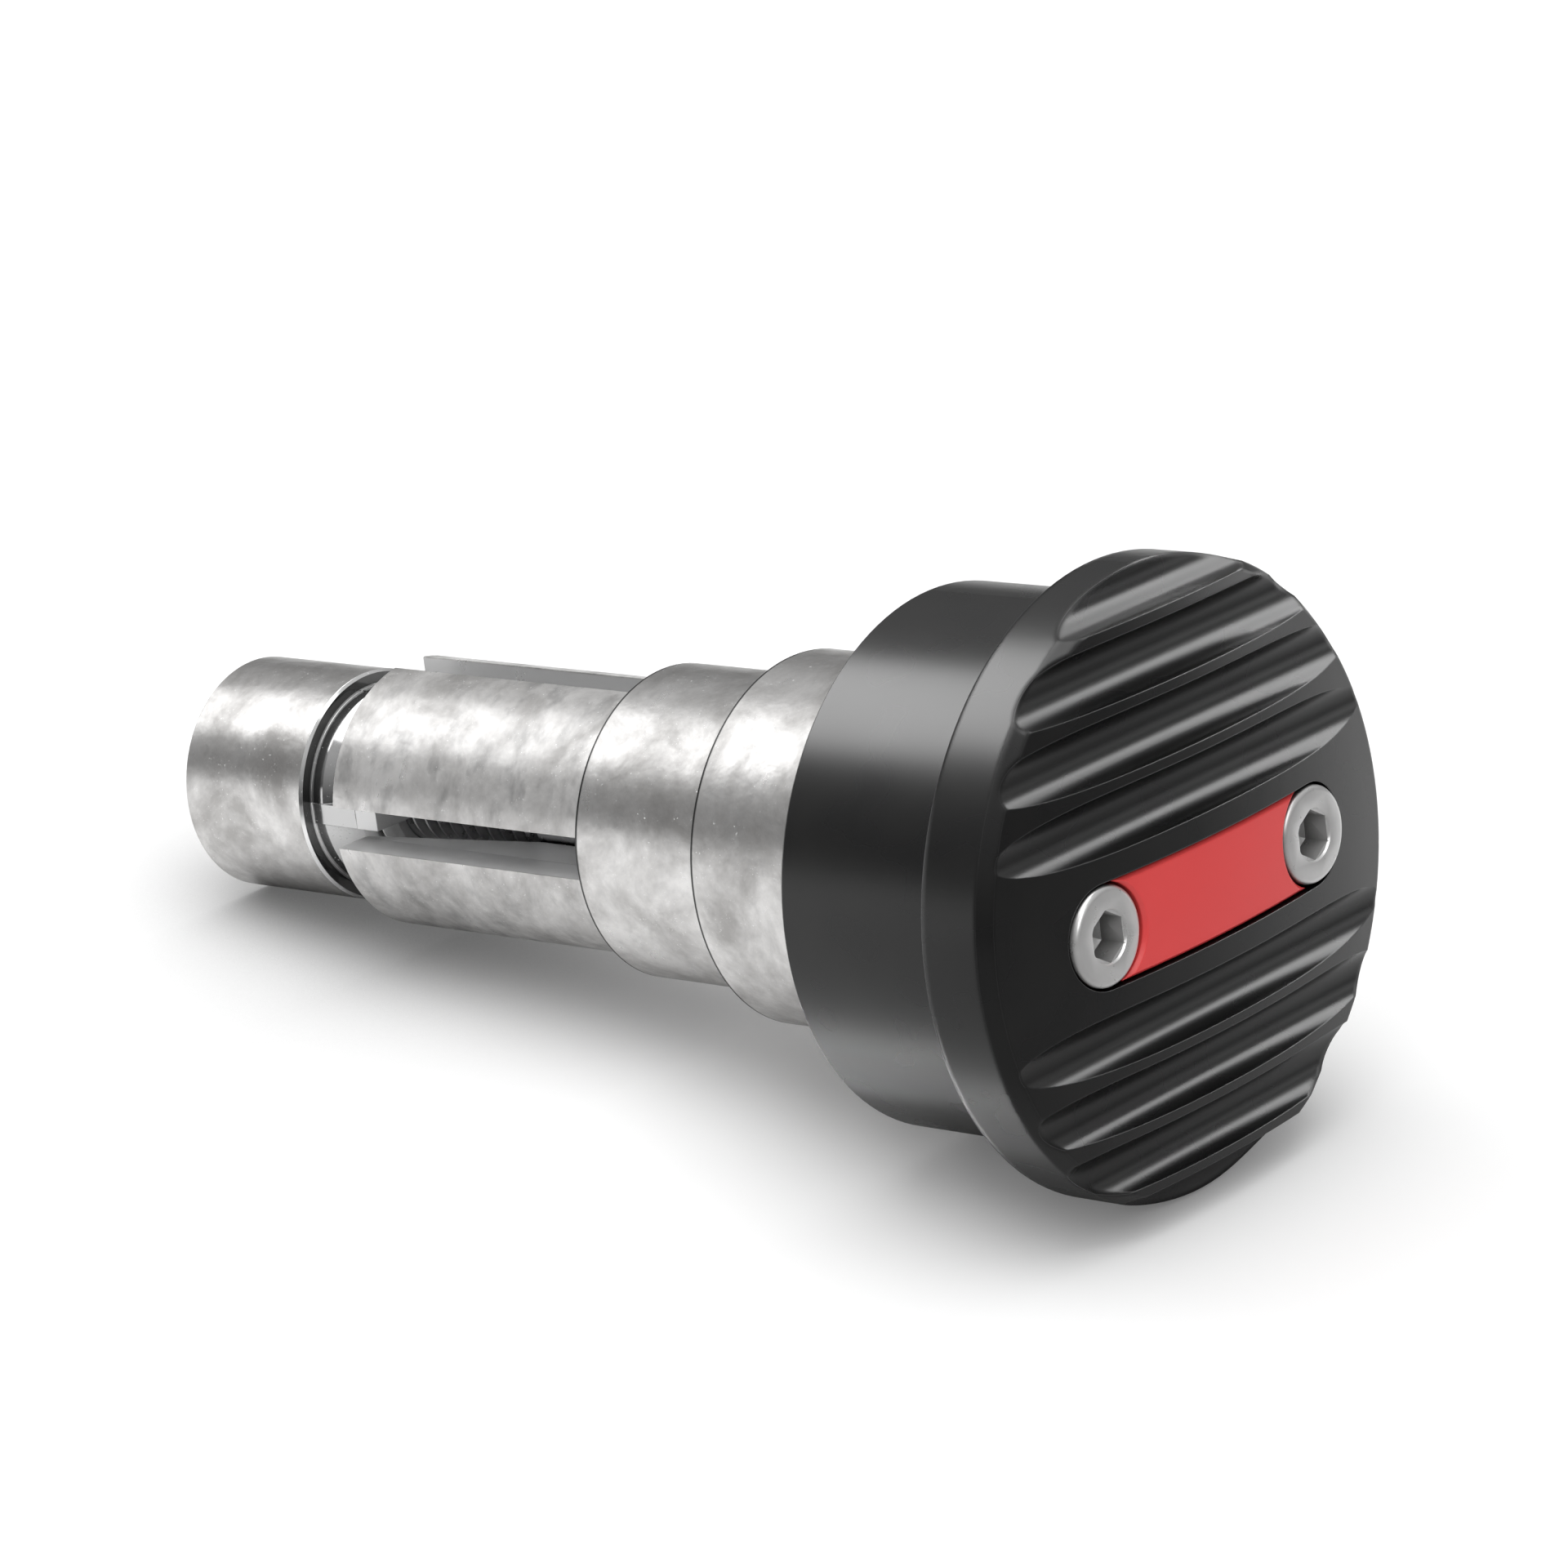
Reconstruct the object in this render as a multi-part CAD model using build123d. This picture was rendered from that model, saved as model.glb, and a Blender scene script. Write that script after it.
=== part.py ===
from build123d import *

import os
from math import atan2, degrees, sqrt

os.makedirs("parts", exist_ok=True)

# A handlebar end weight for a motorcycle, in millimetres.
#
# Nearly every piece is turned about one common axis, the axis of the handlebar. Along it, station 0 is
# the shoulder that butts against the end of the bar. Stations grow outwards, towards the fluted face,
# and are negative inside the bar. The pieces are modelled along +X with the level band of the face
# along Y, and are then laid down together as the weight lies on a table: on the rim of its flange and
# the rim of its end nut, with the axis a little off the level.
#
# How it clamps: the bolt passes through the barrel and the sleeve into the cone nut. Turning it pulls
# the cone into the slotted end of the sleeve, which spreads and grips the inside of the bar.

# Barrel, the plain turned body outside the bar
BARREL_DIAMETER = 30.1
BARREL_LENGTH = 11.9
BARREL_EDGE_BREAK = 0.3

# Cap, the wider fluted disc in front of the barrel
FLANGE_DIAMETER = 35.0
FLANGE_EDGE = 4.2
CROWN_RADIUS = 78.0
CROWN_EDGE_BREAK = 0.6

# Flutes, in two equal groups on either side of the level band
FLUTE_RADIUS = 1.6
FLUTE_DEPTH = 1.7
FLUTE_PITCH = 3.73
FIRST_FLUTE_OFFSET = 5.82
FLUTES_PER_SIDE = 4

# Cover plate between the two screw heads, and the slot-shaped recess that holds it
SCREW_SPACING = 18.3
RECESS_WIDTH = 5.8
PLATE_GAP = 0.15
PLATE_TAB_THICKNESS = 0.8
PLATE_SUNK = 0.1
PLATE_EDGE_BREAK = 0.2

# The two M3 cap screws that hold the plate and the cap to the barrel
SCREW_DIAMETER = 3.0
SCREW_LENGTH = 10.0
SCREW_HEAD_DIAMETER = 5.5
SCREW_HEAD_HEIGHT = 3.0
SCREW_HEAD_BREAK = 0.3
SCREW_HEAD_PROUD = 0.05
SCREW_POINT_BREAK = 0.4
SCREW_SOCKET = 2.5
SCREW_SOCKET_DEPTH = 1.5
SCREW_HOLE_DIAMETER = 3.4
TAPPED_HOLE_SPARE = 0.7

# The M6 low-head clamp bolt on the axis
BOLT_DIAMETER = 6.0
BOLT_HEAD_DIAMETER = 10.0
BOLT_HEAD_HEIGHT = 4.0
BOLT_HEAD_BREAK = 0.5
BOLT_HEAD_COVER = 1.0
BOLT_SOCKET = 4.0
BOLT_SOCKET_DEPTH = 2.3
BOLT_HOLE_DIAMETER = 6.4
BOLT_TIP_INSET = 0.6
BOLT_POINT_BREAK = 0.75
COUNTERBORE_CLEARANCE = 0.25

# The two spacer rings that centre the weight in the bar
LARGE_RING_DIAMETER = 21.1
LARGE_RING_LENGTH = 10.4
SMALL_RING_DIAMETER = 18.0
SMALL_RING_WALL = 1.05
SMALL_RING_LENGTH = 10.0
RING_EDGE_BREAK = 0.2

# Expansion sleeve, which fills the small ring
SLEEVE_DIAMETER = SMALL_RING_DIAMETER - 2 * SMALL_RING_WALL
SLEEVE_WALL = 2.15
SLEEVE_REACH = 40.4
SLEEVE_REGISTER = 2.0
SLEEVE_BORE_DIAMETER = SLEEVE_DIAMETER - 2 * SLEEVE_WALL
SLEEVE_EDGE_BREAK = 0.1
SLOT_COUNT = 4
SLOT_WIDTH = 2.5
SLOT_UNDER_RING = 3.0
BORE_PAST_SLOTS = 2.0

# Cone nut, whose collar is a little wider than the sleeve's bore and spreads it
COLLAR_OVERSIZE = 0.4
COLLAR_DIAMETER = SLEEVE_BORE_DIAMETER + COLLAR_OVERSIZE
COLLAR_LENGTH = 0.9
NUT_SHOULDER = 0.9
NUT_DIAMETER = COLLAR_DIAMETER + 2 * NUT_SHOULDER
NUT_LENGTH = 9.8
NUT_EDGE_BREAK = 0.15
NUT_GAP = 3.6
CONE_END_WALL = 0.6
CONE_END_DIAMETER = BOLT_DIAMETER + 2 * CONE_END_WALL
CONE_LENGTH = 3.5
RIB_WIDTH = 1.25
RIB_LENGTH = 5.2

# Fits between pieces, on the radius
SLIDING_CLEARANCE = 0.03
THREAD_CLEARANCE = 0.02

# How far a cutter stands clear of the faces that it cuts through
CUTTER_OVERRUN = 1.0

# Stations along the axis
CAP_REAR = BARREL_LENGTH
CROWN_CORNER = CAP_REAR + FLANGE_EDGE
SMALL_RING_FRONT = -LARGE_RING_LENGTH
SMALL_RING_REAR = SMALL_RING_FRONT - SMALL_RING_LENGTH
SLOT_END = SMALL_RING_REAR + SLOT_UNDER_RING
BORE_END = SLOT_END + BORE_PAST_SLOTS
SLEEVE_END = -SLEEVE_REACH
NUT_FACE = SLEEVE_END - NUT_GAP
NUT_REAR = NUT_FACE - NUT_LENGTH
BOLT_SEAT = BARREL_LENGTH - BOLT_HEAD_COVER - BOLT_HEAD_HEIGHT
BOLT_TIP = NUT_REAR + BOLT_TIP_INSET


def crown_height(radius):
    """Station of the crowned face at a distance from the axis."""
    corner_drop = sqrt(CROWN_RADIUS**2 - (FLANGE_DIAMETER / 2) ** 2)
    return CROWN_CORNER + sqrt(CROWN_RADIUS**2 - radius**2) - corner_drop


CROWN_TOP = crown_height(0)
SCREW_HEAD_TOP = crown_height(SCREW_SPACING / 2) + SCREW_HEAD_PROUD
SCREW_SEAT = SCREW_HEAD_TOP - SCREW_HEAD_HEIGHT
SCREW_TIP = SCREW_SEAT - SCREW_LENGTH
RECESS_FLOOR = SCREW_SEAT - PLATE_TAB_THICKNESS


def turned(*profile):
    """Solid of revolution from (station, radius) points listed round its upper half section."""
    return revolve(Plane.XZ * make_face(Polyline(*profile, close=True)), Axis.X)


def bar(rear, front, radius, rear_break=0, front_break=0):
    """Round bar between two stations, with chamfers of the given sizes on its end edges."""
    profile = [(rear, 0), (rear, radius - rear_break)]
    if rear_break:
        profile.append((rear + rear_break, radius))
    if front_break:
        profile.append((front - front_break, radius))
    profile += [(front, radius - front_break), (front, 0)]
    return turned(*profile)


def facing(station, along_band=0):
    """Sketch plane square to the axis: its x runs along the band of the face, its y across it."""
    return Plane(origin=(station, along_band, 0), x_dir=(0, 1, 0), z_dir=(1, 0, 0))


def hex_socket(station, across_flats, depth):
    """Cutter for a hexagon socket sunk into a head whose top is at the station."""
    outline = RegularPolygon(across_flats / 2, 6, major_radius=False)
    return extrude(facing(station) * outline, -depth)


def make_barrel():
    """Turned body with the bolt's counterbore in front and the sleeve's register behind."""
    barrel = bar(0, BARREL_LENGTH, BARREL_DIAMETER / 2, rear_break=BARREL_EDGE_BREAK)
    counterbore = BOLT_HEAD_DIAMETER / 2 + COUNTERBORE_CLEARANCE
    barrel -= bar(BOLT_SEAT, BARREL_LENGTH, counterbore)
    barrel -= bar(0, BARREL_LENGTH, BOLT_HOLE_DIAMETER / 2)
    barrel -= bar(0, SLEEVE_REGISTER, SLEEVE_DIAMETER / 2 + SLIDING_CLEARANCE)
    for side in (-1, 1):
        hole = bar(SCREW_TIP - TAPPED_HOLE_SPARE, BARREL_LENGTH, SCREW_DIAMETER / 2 + THREAD_CLEARANCE)
        barrel -= Pos(0, side * SCREW_SPACING / 2, 0) * hole
    return barrel


def flute_cutter(offset):
    """Round-bottomed groove along the band, sunk by the flute depth below the crown at its offset."""
    floor = crown_height(offset) - FLUTE_DEPTH
    centre = floor + FLUTE_RADIUS
    mouth = CROWN_TOP + FLUTE_RADIUS + CUTTER_OVERRUN
    lower = offset - FLUTE_RADIUS
    upper = offset + FLUTE_RADIUS
    sides = Polyline((centre, lower), (mouth, lower), (mouth, upper), (centre, upper))
    bottom = ThreePointArc((centre, upper), (floor, offset), (centre, lower))
    return extrude(Plane.XZ * make_face([*sides.edges(), bottom]), FLANGE_DIAMETER, both=True)


def make_cap():
    """Crowned disc with its flutes, the recess of the cover plate and the two screw holes."""
    radius = FLANGE_DIAMETER / 2
    half_way = (crown_height(radius / 2), radius / 2)
    outline = Polyline((CROWN_TOP, 0), (CAP_REAR, 0), (CAP_REAR, radius), (CROWN_CORNER, radius))
    crown = ThreePointArc((CROWN_CORNER, radius), half_way, (CROWN_TOP, 0))
    section = make_face([*outline.edges(), crown])
    corner = section.vertices().sort_by_distance((CROWN_CORNER, radius, 0))[0]
    cap = revolve(Plane.XZ * chamfer(corner, CROWN_EDGE_BREAK), Axis.X)
    for number in range(FLUTES_PER_SIDE):
        offset = FIRST_FLUTE_OFFSET + number * FLUTE_PITCH
        cap -= flute_cutter(offset)
        cap -= flute_cutter(-offset)
    recess = facing(RECESS_FLOOR) * SlotCenterToCenter(SCREW_SPACING, RECESS_WIDTH)
    cap -= extrude(recess, CROWN_TOP - RECESS_FLOOR + CUTTER_OVERRUN)
    for side in (-1, 1):
        hole = bar(CAP_REAR - CUTTER_OVERRUN, RECESS_FLOOR + CUTTER_OVERRUN, SCREW_HOLE_DIAMETER / 2)
        cap -= Pos(0, side * SCREW_SPACING / 2, 0) * hole
    return cap


def make_cover_plate():
    """Plate with a tab under each screw head and a crowned field between the heads."""
    width = RECESS_WIDTH - 2 * PLATE_GAP
    tabs = extrude(facing(RECESS_FLOOR) * SlotCenterToCenter(SCREW_SPACING, width), PLATE_TAB_THICKNESS)
    field = facing(SCREW_SEAT) * Rectangle(SCREW_SPACING, width)
    for side in (-1, 1):
        tabs -= Pos(0, side * SCREW_SPACING / 2, 0) * bar(RECESS_FLOOR, SCREW_SEAT, SCREW_HOLE_DIAMETER / 2)
        field -= facing(SCREW_SEAT, side * SCREW_SPACING / 2) * Circle(SCREW_HEAD_DIAMETER / 2 + PLATE_GAP)
    raised = extrude(field, CROWN_TOP - SCREW_SEAT + CUTTER_OVERRUN)
    ball_centre = CROWN_TOP - PLATE_SUNK - CROWN_RADIUS
    raised &= Pos(ball_centre, 0, 0) * Sphere(CROWN_RADIUS)
    top = raised.faces().sort_by(Axis.X)[-1]
    raised = chamfer(top.edges(), PLATE_EDGE_BREAK)
    return tabs + raised


def make_screws():
    """The two M3 socket cap screws, one solid each."""
    screw = bar(SCREW_TIP, SCREW_SEAT, SCREW_DIAMETER / 2, rear_break=SCREW_POINT_BREAK)
    screw += bar(SCREW_SEAT, SCREW_HEAD_TOP, SCREW_HEAD_DIAMETER / 2, front_break=SCREW_HEAD_BREAK)
    screw -= hex_socket(SCREW_HEAD_TOP, SCREW_SOCKET, SCREW_SOCKET_DEPTH)
    return Compound([Pos(0, side * SCREW_SPACING / 2, 0) * screw for side in (-1, 1)])


def make_clamp_bolt():
    """Low-head socket bolt from its seat in the barrel to the rear end of the nut."""
    head_top = BOLT_SEAT + BOLT_HEAD_HEIGHT
    bolt = bar(BOLT_TIP, BOLT_SEAT, BOLT_DIAMETER / 2, rear_break=BOLT_POINT_BREAK)
    bolt += bar(BOLT_SEAT, head_top, BOLT_HEAD_DIAMETER / 2, front_break=BOLT_HEAD_BREAK)
    return bolt - hex_socket(head_top, BOLT_SOCKET, BOLT_SOCKET_DEPTH)


def make_ring(rear, front, diameter):
    """Spacer ring that slides over the sleeve."""
    ring = bar(rear, front, diameter / 2, RING_EDGE_BREAK, RING_EDGE_BREAK)
    return ring - bar(rear, front, SLEEVE_DIAMETER / 2 + SLIDING_CLEARANCE)


def make_expansion_sleeve():
    """Tube that is solid towards the barrel and split into fingers towards the nut."""
    radius = SLEEVE_DIAMETER / 2
    sleeve = bar(SLEEVE_END, SLEEVE_REGISTER, radius, rear_break=SLEEVE_EDGE_BREAK)
    sleeve -= bar(SLEEVE_END, BORE_END, SLEEVE_BORE_DIAMETER / 2)
    sleeve -= bar(SLEEVE_END, SLEEVE_REGISTER, BOLT_HOLE_DIAMETER / 2)
    round_end = SLOT_END - SLOT_WIDTH / 2
    straight = Pos(round_end, 0) * Rectangle(
        round_end - SLEEVE_END, SLOT_WIDTH, align=(Align.MAX, Align.CENTER)
    )
    slot = extrude(straight + Pos(round_end, 0) * Circle(SLOT_WIDTH / 2), SLEEVE_DIAMETER)
    for number in range(SLOT_COUNT):
        sleeve -= Rot(number * 360 / SLOT_COUNT, 0, 0) * slot
    return sleeve


def make_cone_nut():
    """Round nut with a collar and a cone, and a rib for each slot that keeps the nut from turning."""
    nut = bar(NUT_REAR, NUT_FACE, NUT_DIAMETER / 2, NUT_EDGE_BREAK, NUT_EDGE_BREAK)
    collar = COLLAR_DIAMETER / 2
    cone_start = NUT_FACE + COLLAR_LENGTH
    cone_end = cone_start + CONE_LENGTH
    nut += turned(
        (NUT_FACE, 0),
        (NUT_FACE, collar),
        (cone_start, collar),
        (cone_end, CONE_END_DIAMETER / 2),
        (cone_end, 0),
    )
    rib = Pos(NUT_FACE, 0, 0) * Box(
        RIB_LENGTH, RIB_WIDTH, collar, align=(Align.MIN, Align.CENTER, Align.MIN)
    )
    for number in range(SLOT_COUNT):
        nut += Rot(number * 360 / SLOT_COUNT, 0, 0) * rib
    return nut - bar(NUT_REAR, NUT_FACE + RIB_LENGTH, BOLT_DIAMETER / 2 + THREAD_CLEARANCE)


def lay_down(pieces):
    """Tilt the weight onto the rims of its flange and nut, and centre it above the origin."""
    rise = FLANGE_DIAMETER / 2 - NUT_DIAMETER / 2
    run = CAP_REAR - NUT_REAR - NUT_EDGE_BREAK
    tilt = Rot(0, -degrees(atan2(rise, run)), 0)
    pieces = {name: tilt * piece for name, piece in pieces.items()}
    box = Compound([solid for piece in pieces.values() for solid in piece.solids()]).bounding_box()
    middle = box.center()
    return {name: Pos(-middle.X, -middle.Y, -box.min.Z) * piece for name, piece in pieces.items()}


placed = lay_down({
    "cap": make_cap(),
    "barrel": make_barrel(),
    "cover_plate": make_cover_plate(),
    "plate_screws": make_screws(),
    "clamp_bolt": make_clamp_bolt(),
    "large_ring": make_ring(SMALL_RING_FRONT, 0, LARGE_RING_DIAMETER),
    "small_ring": make_ring(SMALL_RING_REAR, SMALL_RING_FRONT, SMALL_RING_DIAMETER),
    "expansion_sleeve": make_expansion_sleeve(),
    "cone_nut": make_cone_nut(),
})
for name, piece in placed.items():
    export_step(piece, f"parts/{name}.step")
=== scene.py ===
from math import atan2, cos, pi, radians, sin, sqrt

import bmesh
import bpy
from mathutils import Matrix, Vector


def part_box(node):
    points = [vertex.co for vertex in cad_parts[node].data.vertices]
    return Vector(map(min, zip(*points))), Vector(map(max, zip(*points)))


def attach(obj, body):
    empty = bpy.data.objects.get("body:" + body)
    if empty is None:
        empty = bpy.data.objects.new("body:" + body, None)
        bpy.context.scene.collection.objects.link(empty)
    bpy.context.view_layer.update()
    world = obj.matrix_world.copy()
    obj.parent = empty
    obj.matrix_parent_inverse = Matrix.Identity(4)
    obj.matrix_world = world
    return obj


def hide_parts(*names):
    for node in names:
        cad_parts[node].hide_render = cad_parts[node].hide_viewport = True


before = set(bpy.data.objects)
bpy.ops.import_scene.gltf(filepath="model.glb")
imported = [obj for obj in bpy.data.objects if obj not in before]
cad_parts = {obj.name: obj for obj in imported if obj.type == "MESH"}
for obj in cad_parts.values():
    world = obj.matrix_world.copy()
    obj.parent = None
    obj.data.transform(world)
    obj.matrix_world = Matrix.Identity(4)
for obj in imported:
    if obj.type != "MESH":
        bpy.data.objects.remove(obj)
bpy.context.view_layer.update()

bl_info = {
    "name": "Handlebar End Weight",
    "version": (1, 0, 0),
    "blender": (4, 5, 0),
    "location": "View3D > Sidebar > End Weight",
    "description": "Dresses the solids of a handlebar end weight and sets a small studio round it",
    "category": "Object",
}

MM = 0.001
HAIR = 0.001 * MM  # two places closer than this are the same
CUTTER_OVERHANG = 1 * MM  # how far a cutter sticks out of what it cuts
SCREW_NAMES = ("plate_screw_left", "plate_screw_right")


# Sizes and colours that a user may change

class WeightSizes(bpy.types.PropertyGroup):
    """Sizes along and about the turning axis, which the added pieces follow."""
    flange_radius: bpy.props.FloatProperty(
        name="Flange radius", description="Radius of the cap, which rests on the floor by its rear rim",
        default=17.5 * MM, unit="LENGTH", precision=5)
    rim_start: bpy.props.FloatProperty(
        name="Rim start", description="Distance from the axis at which the cap's rounded front rim begins",
        default=16.7 * MM, unit="LENGTH", precision=5)
    cap_rear: bpy.props.FloatProperty(
        name="Cap rear", description="Station of the cap's rear face",
        default=11.9 * MM, unit="LENGTH", precision=5)
    nut_radius: bpy.props.FloatProperty(
        name="Nut radius", description="Radius of the nut, which rests on the floor by its rear rim",
        default=6.9 * MM, unit="LENGTH", precision=5)
    nut_rear: bpy.props.FloatProperty(
        name="Nut rear", description="Station of the nut's rear face",
        default=-53.8 * MM, unit="LENGTH", precision=5)
    nut_face: bpy.props.FloatProperty(
        name="Nut face", description="Station of the nut's front face, behind its collar and cone",
        default=-44.0 * MM, unit="LENGTH", precision=5)
    collar_radius: bpy.props.FloatProperty(
        name="Collar radius", description="Radius of the collar on the nut's front face",
        default=6.0 * MM, unit="LENGTH", precision=5)
    nut_edge_break: bpy.props.FloatProperty(
        name="Nut edge break", description="Chamfer on the nut's rims",
        default=0.15 * MM, unit="LENGTH", precision=5)
    sleeve_radius: bpy.props.FloatProperty(
        name="Sleeve radius", description="Outer radius of the expansion sleeve",
        default=7.95 * MM, unit="LENGTH", precision=5)
    core_radius: bpy.props.FloatProperty(
        name="Core radius", description="Outer radius of the sleeve's core, just inside the sleeve's bore",
        default=5.79 * MM, unit="LENGTH", precision=5)
    core_reach: bpy.props.FloatProperty(
        name="Core reach", description="How far the sleeve's core stands out behind the barrel",
        default=40.38 * MM, unit="LENGTH", precision=5)
    core_front: bpy.props.FloatProperty(
        name="Core front", description="Station where the sleeve's core ends inside the sleeve",
        default=-15.5 * MM, unit="LENGTH", precision=5)
    core_bore_radius: bpy.props.FloatProperty(
        name="Core bore radius", description="Radius of the bore round the bolt",
        default=3.1 * MM, unit="LENGTH", precision=5)
    core_mouth_radius: bpy.props.FloatProperty(
        name="Core mouth radius", description="Radius of the tapered mouth at the sleeve's end",
        default=5.5 * MM, unit="LENGTH", precision=5)
    taper_end: bpy.props.FloatProperty(
        name="Taper end", description="Station where the tapered mouth reaches the bore",
        default=-28.5 * MM, unit="LENGTH", precision=5)
    slot_width: bpy.props.FloatProperty(
        name="Slot width", description="Width of the sleeve's slots",
        default=2.5 * MM, unit="LENGTH", precision=5)
    slot_end: bpy.props.FloatProperty(
        name="Slot end", description="Station where the slots end under the small ring",
        default=-17.4 * MM, unit="LENGTH", precision=5)
    large_ring_rear: bpy.props.FloatProperty(
        name="Large ring rear", description="Station of the large ring's rear rim",
        default=-10.4 * MM, unit="LENGTH", precision=5)
    small_ring_rear: bpy.props.FloatProperty(
        name="Small ring rear", description="Station of the small ring's rear rim",
        default=-20.4 * MM, unit="LENGTH", precision=5)
    ring_edge_break: bpy.props.FloatProperty(
        name="Ring edge break", description="Chamfer on the rings' rims",
        default=0.2 * MM, unit="LENGTH", precision=5)
    screw_spacing: bpy.props.FloatProperty(
        name="Screw spacing", description="Distance between the two screws of the cover plate",
        default=18.3 * MM, unit="LENGTH", precision=5)
    screw_seat: bpy.props.FloatProperty(
        name="Screw seat", description="Station of the face under the screw heads",
        default=14.6 * MM, unit="LENGTH", precision=5)
    screw_head_radius: bpy.props.FloatProperty(
        name="Screw head radius", description="Radius of an M3 cap screw's head",
        default=2.75 * MM, unit="LENGTH", precision=5)
    screw_head_height: bpy.props.FloatProperty(
        name="Screw head height", description="Height of an M3 cap screw's head",
        default=3.0 * MM, unit="LENGTH", precision=5)
    screw_length: bpy.props.FloatProperty(
        name="Screw length", description="Length of the screws under their heads",
        default=10.0 * MM, unit="LENGTH", precision=5)
    screw_socket: bpy.props.FloatProperty(
        name="Screw socket", description="Hexagon socket across its flats",
        default=2.5 * MM, unit="LENGTH", precision=5)
    bolt_radius: bpy.props.FloatProperty(
        name="Bolt radius", description="Radius of the clamp bolt's shank, and of its thread's crests",
        default=3.0 * MM, unit="LENGTH", precision=5)
    bolt_seat: bpy.props.FloatProperty(
        name="Bolt seat", description="Station of the face under the clamp bolt's head",
        default=6.9 * MM, unit="LENGTH", precision=5)
    bolt_head_height: bpy.props.FloatProperty(
        name="Bolt head height", description="Height of the clamp bolt's low head",
        default=4.0 * MM, unit="LENGTH", precision=5)
    bolt_head_radius: bpy.props.FloatProperty(
        name="Bolt head radius", description="Radius of the clamp bolt's head",
        default=5.0 * MM, unit="LENGTH", precision=5)
    bolt_tip: bpy.props.FloatProperty(
        name="Bolt tip", description="Station of the clamp bolt's tip",
        default=-53.2 * MM, unit="LENGTH", precision=5)
    thread_start: bpy.props.FloatProperty(
        name="Thread start", description="Station where the clamp bolt's thread begins",
        default=-29.0 * MM, unit="LENGTH", precision=5)
    thread_pitch: bpy.props.FloatProperty(
        name="Thread pitch", description="Pitch of the clamp bolt's thread",
        default=1.0 * MM, unit="LENGTH", precision=5)


class WeightFinishes(bpy.types.PropertyGroup):
    """Colours and gloss of the finishes."""
    black: bpy.props.FloatVectorProperty(
        name="Black anodising", description="Colour of the cap and barrel", subtype="COLOR",
        size=4, min=0, max=1, default=(0.0045, 0.0045, 0.0047, 1))
    black_worn: bpy.props.FloatVectorProperty(
        name="Handled black", description="Colour of the cap and barrel where they are dusty or rubbed",
        subtype="COLOR", size=4, min=0, max=1, default=(0.0085, 0.0083, 0.008, 1))
    # Painted highlight: a light grey laid along the cap's and the barrel's sharp edges
    painted_black_edge_highlight: bpy.props.FloatVectorProperty(
        name="Black edges", description="Colour of the cap's and the barrel's sharp edges", subtype="COLOR",
        size=4, min=0, max=1, default=(0.11, 0.11, 0.112, 1))
    red: bpy.props.FloatVectorProperty(
        name="Red", description="Colour of the cover plate", subtype="COLOR",
        size=4, min=0, max=1, default=(0.73, 0.057, 0.057, 1))
    steel_light: bpy.props.FloatVectorProperty(
        name="Light steel", description="Colour of the light clouds on the steel", subtype="COLOR",
        size=4, min=0, max=1, default=(0.88, 0.87, 0.86, 1))
    steel_dark: bpy.props.FloatVectorProperty(
        name="Dark steel", description="Colour of the dark clouds on the steel", subtype="COLOR",
        size=4, min=0, max=1, default=(0.50, 0.49, 0.48, 1))
    screw_steel: bpy.props.FloatVectorProperty(
        name="Screw steel", description="Colour of the stainless plate screws", subtype="COLOR",
        size=4, min=0, max=1, default=(0.82, 0.815, 0.81, 1))
    core_steel: bpy.props.FloatVectorProperty(
        name="Core steel", description="Colour of the even steel inside the sleeve", subtype="COLOR",
        size=4, min=0, max=1, default=(0.85, 0.85, 0.85, 1))
    bolt_zinc: bpy.props.FloatVectorProperty(
        name="Zinc", description="Colour of the zinc plated bolt", subtype="COLOR",
        size=4, min=0, max=1, default=(0.72, 0.72, 0.73, 1))
    rim_softness: bpy.props.FloatProperty(
        name="Rim softness", description="Radius to which the cap's front rim is shaded",
        default=0.45 * MM, unit="LENGTH", precision=5)
    black_softness: bpy.props.FloatProperty(
        name="Black softness", description="Radius to which the edges of the black parts are shaded",
        default=0.1 * MM, unit="LENGTH", precision=5)
    edge_softness: bpy.props.FloatProperty(
        name="Edge softness", description="Radius to which other sharp edges are shaded",
        default=0.05 * MM, unit="LENGTH", precision=5)


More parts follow.
